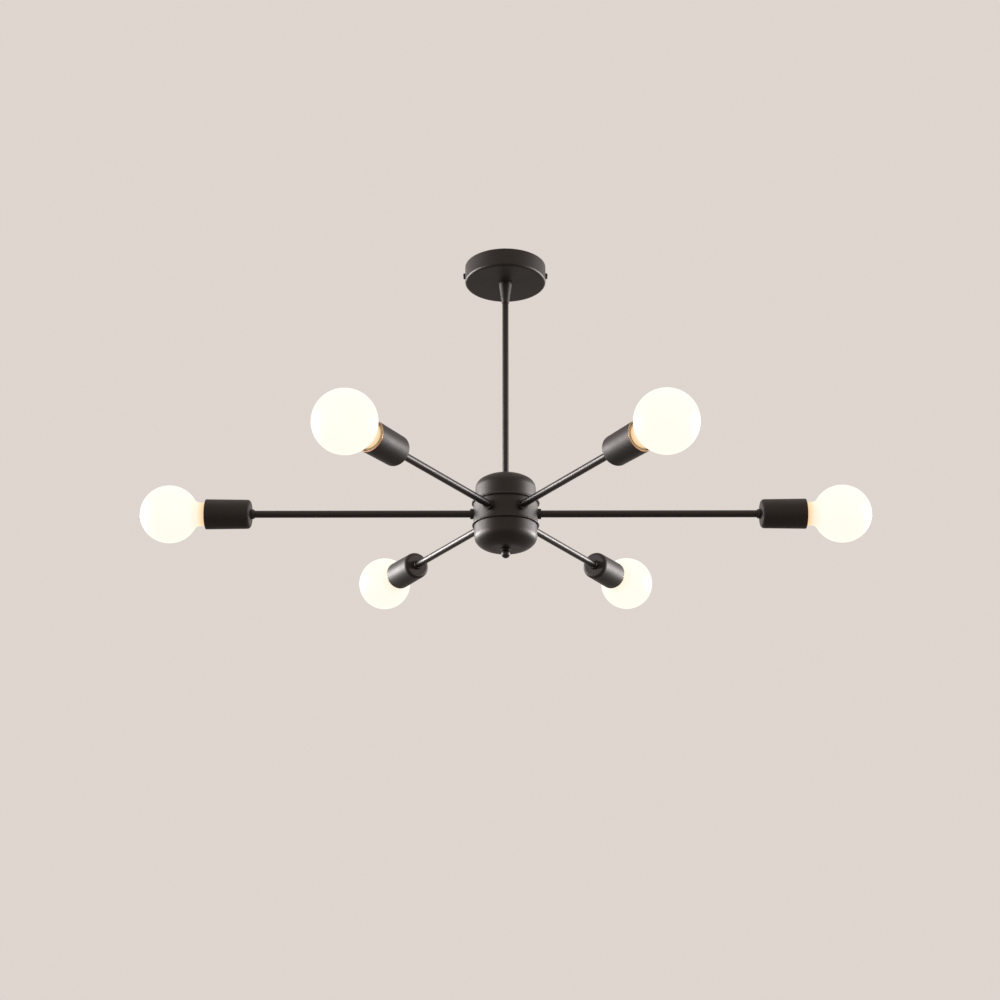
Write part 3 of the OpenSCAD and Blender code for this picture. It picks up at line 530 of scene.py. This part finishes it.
def cup_black(n):
    """The powder coat of a socket cup, with painted warm bulb light on its metallic inside and a painted
    highlight on its metallic lip.
    """
    metal = settings("metal")
    paint = powder_black(f"powder_black_cup_{n}", metal.cup_roughness)
    offset, depth = paint.offset_and_depth(GLOBE_CENTRE[n], -OUTWARD[n])
    on_axis = paint.add(
        "ShaderNodeVectorMath", {0: -OUTWARD[n], "Scale": depth}, operation="SCALE").outputs["Vector"]
    across = paint.add(
        "ShaderNodeVectorMath", {0: offset, 1: on_axis}, operation="SUBTRACT").outputs["Vector"]
    radius = paint.add("ShaderNodeVectorMath", {0: across}, operation="LENGTH").outputs["Value"]
    # Mask of the painted warm bulb light: the cup's inside, short of its back
    wall = paint.fit_range(depth, MOUTH, CUP_BACK, CUP_MOUTH_R - CUP_SKIN, CUP_BACK_R - CUP_SKIN)
    before_back = paint.maths("LESS_THAN", depth, CUP_BACK - metal.painted_glow_end)
    inside = paint.maths("MULTIPLY", before_back, paint.maths("LESS_THAN", radius, wall))
    # Mask of the painted highlight on the cup's lip
    lip = paint.maths("LESS_THAN", depth, MOUTH + metal.lip_highlight_height)
    # Mask of all painted light on the cup: its inside and its lip
    bare = paint.maths("MAXIMUM", inside, lip)
    shader = paint.shader.inputs
    coat_tone = shader["Base Color"].links[0].from_socket
    coat_gloss = shader["Roughness"].links[0].from_socket
    marks = paint.noise(420.0, 3.0, 0.6)
    # Painted highlight on the lip, with faint random marks
    painted_lip_highlight = paint.ramp(marks, [(0.25, shade(metal.painted_lip_highlight, 0.78)), (0.75, metal.painted_lip_highlight)])
    # Painted warm bulb light on the inside, with faint random marks
    painted_bulb_glow = paint.ramp(marks, [(0.25, shade(metal.inside, 0.75)), (0.75, metal.inside)])
    # Painted light: the lip's painted highlight over the inside's painted warm bulb light
    painted_light_tone = paint.mix(lip, painted_bulb_glow, painted_lip_highlight)
    paint.set(
        Base_Color=paint.mix(bare, coat_tone, painted_light_tone),
        Roughness=paint.fit_range(bare, 0.0, 1.0, coat_gloss, 0.34),
        Metallic=bare)
    return paint.material


def plated(name, colour, roughness, brush):
    """Plated or bare metal with fine working marks and a little tarnish."""
    metal = Shader(name)
    tarnish = metal.noise(90.0, 4.0, 0.6)
    marks = metal.noise(brush, 3.0, 0.7)
    tone = metal.ramp(tarnish, [(0.3, shade(colour, 0.80)), (0.75, colour)])
    gloss = metal.fit_range(marks, 0.2, 0.8, roughness - 0.08, roughness + 0.10)
    metal.set(Base_Color=tone, Metallic=1.0, Roughness=gloss)
    metal.bump(marks, 0.06, 0.05 * MM)
    return metal.material


def moulded(name, colour, roughness, mottle=0.10):
    """Moulded plastic or glazed ceramic with a soft mottle and a faintly uneven skin."""
    body = Shader(name)
    clouds = body.noise(120.0, 3.0, 0.5)
    skin = body.noise(900.0, 2.0, 0.5)
    tone = body.ramp(clouds, [(0.3, shade(colour, 1.0 - mottle)), (0.7, colour)])
    body.set(Base_Color=tone, Roughness=body.fit_range(skin, 0.2, 0.8, roughness - 0.05, roughness + 0.05))
    body.bump(skin, 0.05, 0.08 * MM)
    return body.material


def striped(name, colour, second):
    """Insulation with two lengthwise bands that wind slowly round the lead."""
    body = Shader(name)
    bands = body.add(
        "ShaderNodeTexWave", {"Vector": body.place, "Scale": 95.0, "Distortion": 1.5}).outputs["Fac"]
    tone = body.ramp(bands, [(0.49, colour), (0.51, second)])
    body.set(Base_Color=tone, Roughness=0.42)
    body.bump(body.noise(1800.0), 0.05, 0.05 * MM)
    return body.material


def lit_opal(n):
    """Opal glass lit from inside: even and near white over the globe, creamy at the neck."""
    bulbs = settings("globe")
    glass = Shader(f"lit_opal_{n}")
    _, depth = glass.offset_and_depth(GLOBE_CENTRE[n], -OUTWARD[n])
    share = glass.fit_range(depth, -GLOBE_R, GLASS_END, 0.0, 1.0)
    shimmer = glass.noise(26.0, 2.0, 0.4)
    glow = glass.ramp(share, [
        (0.0, bulbs.glow_colour),
        (0.76, bulbs.glow_colour),
        (0.87, (1.0, 0.91, 0.72)),
        (0.93, bulbs.neck_colour),
        (1.0, shade(bulbs.neck_colour, 0.8)),
    ])
    level = glass.fit_range(shimmer, 0.2, 0.8, bulbs.glow * 0.985, bulbs.glow * 1.015)
    glass.set(Base_Color=(0.10, 0.097, 0.09, 1.0), Roughness=0.45, IOR=1.5, Specular_IOR_Level=0.07,
              Emission_Color=glow, Emission_Strength=level)
    glass.bump(glass.noise(14.0, 1.0), 0.03, 0.6 * MM)
    return glass.material


class LIGHT_OT_stage(Operator):
    """Build the camera, the lamps, the pale backdrop and the floor"""

    bl_idname = "ceiling_light.stage"
    bl_label = "Build Stage"

    def execute(self, context):
        stage = settings("stage")
        self.camera(context, stage)
        self.world(context, stage)
        self.lamps(stage)
        self.floor(stage)
        context.scene.view_settings.view_transform = "Standard"
        return {"FINISHED"}

    def camera(self, context, stage):
        data = bpy.data.cameras.new("camera")
        data.lens = stage.lens
        data.sensor_width = 36.0
        data.clip_end = 50.0
        camera = link(bpy.data.objects.new("camera", data))
        camera.location = stage.eye
        camera.rotation_euler = (math.pi / 2 + stage.pitch, 0.0, stage.yaw)
        context.scene.camera = camera

    def world(self, context, stage):
        """A soft fill on the object, and the backdrop's colour wherever the room is seen or mirrored."""
        world = bpy.data.worlds.new("pale_room")
        context.scene.world = world
        world.use_nodes = True
        tree = world.node_tree
        tree.nodes.clear()
        seen = tree.nodes.new("ShaderNodeBackground")
        seen.inputs["Color"].default_value = (*stage.backdrop, 1.0)
        seen.inputs["Strength"].default_value = 1.0
        soft = tree.nodes.new("ShaderNodeBackground")
        soft.inputs["Color"].default_value = FILL_COLOUR
        soft.inputs["Strength"].default_value = stage.fill
        path = tree.nodes.new("ShaderNodeLightPath")
        viewed = path.outputs["Is Camera Ray"]
        for ray in ("Is Glossy Ray", "Is Transmission Ray"):
            either = tree.nodes.new("ShaderNodeMath")
            either.operation = "MAXIMUM"
            tree.links.new(viewed, either.inputs[0])
            tree.links.new(path.outputs[ray], either.inputs[1])
            viewed = either.outputs[0]
        mix = tree.nodes.new("ShaderNodeMixShader")
        tree.links.new(viewed, mix.inputs[0])
        tree.links.new(soft.outputs[0], mix.inputs[1])
        tree.links.new(seen.outputs[0], mix.inputs[2])
        out = tree.nodes.new("ShaderNodeOutputWorld")
        tree.links.new(mix.outputs[0], out.inputs["Surface"])

    def lamp(self, name, spot, aim, size, power, colour):
        data = bpy.data.lights.new(name, "AREA")
        data.shape = "RECTANGLE"
        data.size, data.size_y = size
        data.energy = power
        data.color = colour
        lamp = link(bpy.data.objects.new(name, data))
        lamp.location = spot
        lamp.rotation_euler = (Vector(aim) - Vector(spot)).to_track_quat("-Z", "Y").to_euler()
        return lamp

    def lamps(self, stage):
        """Two side lamps that only gloss shows, and a soft one above."""
        hub = (0.0, 0.0, ARM_Z)
        sides = (("lamp_left", -1, stage.left_power), ("lamp_right", 1, stage.right_power))
        for name, side, power in sides:
            spot = (side * GLEAM_SIDE, GLEAM_BACK, ARM_Z + GLEAM_RISE)
            gleam = self.lamp(name, spot, hub, GLEAM_SIZE, power, GLEAM_COLOUR)
            gleam.visible_diffuse = False
        self.lamp("lamp_top", TOP_LAMP_SPOT, hub, TOP_LAMP_SIZE, stage.top_power, TOP_LAMP_COLOUR)

    def floor(self, stage):
        half = FLOOR_HALF
        z = -stage.floor_drop
        corners = [(-half, -half, z), (half, -half, z), (half, half, z), (-half, half, z)]
        floor = mesh_object("floor", corners, [(0, 1, 2, 3)])
        plaster = Shader("pale_floor")
        tone = plaster.ramp(plaster.noise(2.5, 4.0), [
            (0.3, shade(stage.backdrop, FLOOR_DARK)), (0.7, shade(stage.backdrop, FLOOR_LIGHT))])
        plaster.set(Base_Color=tone, Roughness=0.9)
        floor.data.materials.append(plaster.material)


class LIGHT_OT_metalwork(Operator):
    """Give the canopy, rod, hub, arms and cups their satin black coat"""

    bl_idname = "ceiling_light.metalwork"
    bl_label = "Finish Metalwork"

    def execute(self, context):
        metal = settings("metal")
        black = powder_black("powder_black", metal.black_roughness).material
        for node in ("canopy", "canopy_collar", "hub_top_cap", "hub_body", "hub_bottom_cap", "finial",
                     "arm_collars", "socket_nuts"):
            dress(node, black)
        tube_black = powder_black("powder_black_tube", metal.tube_roughness).material
        dress("downrod", tube_black)
        for n in ARMS:
            dress(f"arm_tube_{n}", tube_black)
            dress(f"socket_cup_{n}", cup_black(n))
        self.side_screws(black)
        zinc = plated("zinc_steel", metal.zinc, 0.38, 700.0)
        for node in ("ceiling_bracket", "canopy_locknut", "block_and_earth_screws", "hub_clamp_nuts",
                     "arm_hub_nuts", "hub_bridge", "bridge_screws", "finial_stud"):
            dress(node, zinc)
        return {"FINISHED"}

    def side_screws(self, black):
        """Two slotted screws, each with a domed head against the canopy and a shank to its ear."""
        low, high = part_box("canopy_side_screws")
        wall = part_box("canopy")[1].x
        head_r = (high.z - low.z) / 2
        head_h = high.x - wall
        crown = head_h * 0.4
        shank_end = span("canopy_side_screws", ORIGIN, Vector((1, 0, 0)))[1] - SIDE_SCREW_LENGTH
        middle = (low.z + high.z) / 2
        outline = [
            (0.0, shank_end), (SHANK_BEVEL_R, shank_end),
            (SIDE_SCREW_R, shank_end + SHANK_BEVEL_LENGTH), (SIDE_SCREW_R, wall),
            (head_r - HEAD_EDGE, wall), (head_r, wall + HEAD_EDGE), (head_r, high.x - crown)]
        outline += [
            (head_r * math.cos(turn), high.x - crown + crown * math.sin(turn))
            for turn in (math.radians(step * 10) for step in range(1, 9))]
        outline.append((0.0, high.x))
        for name, turn in (("side_screw_right", 0.0), ("side_screw_left", math.pi)):
            place = (Matrix.Rotation(turn, 4, "Z") @ Matrix.Translation((0, 0, middle))
                     @ Matrix.Rotation(math.pi / 2, 4, "Y"))
            screw = lathe(name, outline, place, 64)
            face = place @ Matrix.Translation((0, 0, high.x))
            slot = block((2 * head_r + MM, SLOT_WIDTH, 2 * head_h), face)
            cut(screw, slot)
            finish_piece(screw, "root", "black_satin", black)
        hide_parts("canopy_side_screws")


class LIGHT_OT_bulbs(Operator):
    """Build the opal globes and their threaded caps"""

    bl_idname = "ceiling_light.bulbs"
    bl_label = "Build Bulbs"

    def execute(self, context):
        nickel = plated("nickel_cap", settings("metal").nickel, 0.25, 1200.0)
        for n in ARMS:
            self.globe(n)
            self.screw_cap(n, nickel)
        return {"FINISHED"}

    def globe_outline(self, inset):
        """The glass from its tip to the screw cap, drawn inset from the outer face."""
        bulbs = settings("globe")
        ball = GLOBE_R - inset
        throat = bulbs.neck_radius - inset
        curve = bulbs.neck_curve + inset
        centre = (throat + curve, math.sqrt((ball + curve) ** 2 - (throat + curve) ** 2))
        meet = math.atan2(centre[1], centre[0])
        points = arc((0.0, 0.0), ball, -math.pi / 2, meet, 44)
        points[0] = (0.0, points[0][1])
        points += arc(centre, curve, meet - math.pi, -math.pi, 10)[1:]
        rim = 1.6 * MM
        points.append((throat, GLASS_END - 3.5 * MM))
        points += arc((throat - rim, GLASS_END - rim), rim, 0.0, math.pi / 2, 5)
        return points

    def globe(self, n):
        bulbs = settings("globe")
        outer = self.globe_outline(0.0)
        inner = self.globe_outline(bulbs.wall)
        obj = lathe(f"opal_globe_{n}", outer + inner[::-1], bulb_place(n), bulbs.steps)
        finish_piece(obj, f"bulb_{n}", "opal_glass", lit_opal(n), f"bulb_{n}_globe")

    def screw_cap(self, n, nickel):
        """A rolled shell: the radius follows a wave that climbs one pitch in each turn."""
        thread = settings("thread")
        segments, rows_a_pitch = 64, 10
        turns = [2 * math.pi * k / segments for k in range(segments)]
        start, end = GLASS_END + 1.5 * MM, CONTACT_START
        middle = thread.radius - thread.depth / 2
        rows = round((end - start) / thread.pitch * rows_a_pitch)
        place = bulb_place(n)
        fade = thread.pitch / 2
        rings = []
        for row in range(rows + 1):
            height = start + (end - start) * row / rows
            room = min(1.0, (height - start) / fade, (end - height) / fade)
            ring = []
            for turn in turns:
                wave = math.cos(2 * math.pi * (height - start) / thread.pitch - turn)
                ring.append((turn, middle + thread.depth / 2 * wave * max(0.0, room), height))
            rings.append(ring)
        skirt = [(settings("globe").collar_radius, GLASS_END), (thread.radius, start - 0.3 * MM)]
        floor = [(middle - 1.2 * MM, end), (0.0, end)]
        above, below = (
            [[(turn, radius, height) for turn in turns] for radius, height in plain]
            for plain in ([(0.0, GLASS_END), *skirt], floor))
        whole = above + rings + below
        vertices = [
            place @ Vector((radius * math.cos(turn), radius * math.sin(turn), height))
            for ring in whole for turn, radius, height in ring]
        obj = mesh_object(f"screw_cap_{n}", vertices, ring_faces(len(whole), segments))
        finish_piece(obj, f"bulb_{n}", "nickel_cap", nickel, f"bulb_{n}_screw_cap")


class LIGHT_OT_sockets(Operator):
    """Give the lampholders, shells and contacts their finish"""

    bl_idname = "ceiling_light.sockets"
    bl_label = "Finish Sockets"

    def execute(self, context):
        metal = settings("metal")
        porcelain = moulded("cream_porcelain", (0.72, 0.62, 0.47), 0.22, 0.06)
        brass = plated("contact_brass", metal.brass, 0.28, 900.0)
        for n in ARMS:
            dress(f"lampholder_{n}", porcelain)
            dress(f"bulb_{n}_contact", brass)
        for node in ("screw_shells", "centre_contacts"):
            dress(node, brass)
        return {"FINISHED"}


class LIGHT_OT_wiring(Operator):
    """Give the leads, connectors and terminal block their finish"""

    bl_idname = "ceiling_light.wiring"
    bl_label = "Finish Wiring"

    def execute(self, context):
        leads = settings("leads")
        sleeves = {
            "line": moulded("line_sleeve", leads.line, 0.4),
            "neutral": moulded("neutral_sleeve", leads.neutral, 0.4),
            "earth": striped("earth_sleeve", leads.earth, (0.55, 0.42, 0.02)),
        }
        self.arm_leads(leads, sleeves)
        self.supply_leads(leads, sleeves)
        dress("wire_connectors", moulded("orange_connector", (0.62, 0.16, 0.02), 0.35))
        dress("terminal_block", moulded("white_block", (0.74, 0.74, 0.70), 0.4))
        return {"FINISHED"}

    def cavity_floor(self, pole):
        """Floor of a wire connector: the line leads meet at +Y, the neutral leads at -Y."""
        low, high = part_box("wire_connectors")
        radius = (high.x - low.x) / 2
        return Vector((0, pole * (high.y - radius), high.z - CONNECTOR_CAVITY))

    def arm_leads(self, leads, sleeves):
        for n in ARMS:
            outward = OUTWARD[n]
            inner, outer = span(f"arm_tube_{n}", HUB_CENTRE, outward)
            terminal = (GLOBE_CENTRE[n] - HUB_CENTRE).length - CONTACT_TIP - SOCKET_FLOOR
            for pole, kind in ((1, "line"), (-1, "neutral")):
                run = HUB_CENTRE + Vector((0, 0, pole * leads.lift))
                out = HUB_CENTRE + Vector((0, 0, pole * leads.terminal_offset))
                floor = self.cavity_floor(pole)
                fan = (outward * inner - Vector((0, floor.y, 0))).normalized()
                foot = floor + fan * leads.bundle
                route = [
                    foot,
                    Vector((foot.x, foot.y, run.z)),
                    run + outward * inner,
                    run + outward * (outer + MM),
                    out + outward * (terminal - leads.bend - MM),
                    out + outward * terminal,
                ]
                piece = lead(f"{kind}_lead_{n}", route, leads.arm_radius, leads.bend)
                finish_piece(piece, "root", "lead_sleeve", sleeves[kind])
        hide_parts("arm_leads")

    def supply_leads(self, leads, sleeves):
        """Line and neutral run from the block, earth from the bracket, down the rod to the hub."""
        block_low, block_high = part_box("terminal_block")
        entry_z = block_high.z - 0.6 * (block_high.z - block_low.z)
        terminal_y = (block_high.y - block_low.y) / 4
        earth = EARTH_SCREW - Vector((0, 0, SCREW_HEAD))
        hub_earth = HUB_CENTRE + HUB_EARTH_SCREW - Vector((0, 0, SCREW_HEAD))
        level_z = ARM_Z + leads.level
        for index, kind in enumerate(("line", "neutral", "earth")):
            turn = math.radians(90 + 120 * index)
            spot = leads.ring * Vector((math.cos(turn), math.sin(turn), 0))
            if kind == "earth":
                start = [earth, earth - Vector((0, 0, 2 * leads.bend))]
                end = [Vector((hub_earth.x, hub_earth.y, level_z)), hub_earth]
            else:
                pole = 1 if kind == "line" else -1
                floor = self.cavity_floor(pole)
                start = [Vector((x, pole * terminal_y, entry_z)) for x in (block_high.x, spot.x)]
                end = [Vector((floor.x, floor.y, level_z)), floor]
            drop = [spot + Vector((0, 0, z)) for z in (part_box("downrod")[1].z + LEAD_RISE, level_z)]
            piece = lead(f"{kind}_supply_lead", start + drop + end, leads.supply_radius, leads.bend)
            finish_piece(piece, "root", "lead_sleeve", sleeves[kind])
        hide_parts("supply_leads")


class LIGHT_PT_panel(Panel):
    """Lists the light's sizes, colours and pieces in the sidebar"""

    bl_label = "Ceiling Light"
    bl_idname = "LIGHT_PT_panel"
    bl_space_type = "VIEW_3D"
    bl_region_type = "UI"
    bl_category = "Ceiling Light"

    def draw(self, context):
        layout = self.layout
        for name, group in SETTINGS:
            box = layout.box()
            box.label(text=group.__doc__)
            for field in group.__annotations__:
                box.prop(settings(name), field)
        for operator in OPERATORS:
            layout.operator(operator.bl_idname)


SETTINGS = (
    ("globe", GlobeSettings),
    ("thread", ThreadSettings),
    ("metal", MetalSettings),
    ("leads", LeadSettings),
    ("stage", StageSettings),
)
OPERATORS = (
    LIGHT_OT_stage,
    LIGHT_OT_metalwork,
    LIGHT_OT_sockets,
    LIGHT_OT_bulbs,
    LIGHT_OT_wiring,
)


def register():
    for name, group in SETTINGS:
        bpy.utils.register_class(group)
        setattr(bpy.types.Scene, "ceiling_light_" + name, PointerProperty(type=group))
    for operator in OPERATORS:
        bpy.utils.register_class(operator)
    bpy.utils.register_class(LIGHT_PT_panel)


def unregister():
    bpy.utils.unregister_class(LIGHT_PT_panel)
    for operator in reversed(OPERATORS):
        bpy.utils.unregister_class(operator)
    for name, group in reversed(SETTINGS):
        delattr(bpy.types.Scene, "ceiling_light_" + name)
        bpy.utils.unregister_class(group)


def main():
    register()
    bpy.ops.ceiling_light.stage()
    bpy.ops.ceiling_light.metalwork()
    bpy.ops.ceiling_light.sockets()
    bpy.ops.ceiling_light.bulbs()
    bpy.ops.ceiling_light.wiring()


if __name__ == "__main__":
    main()
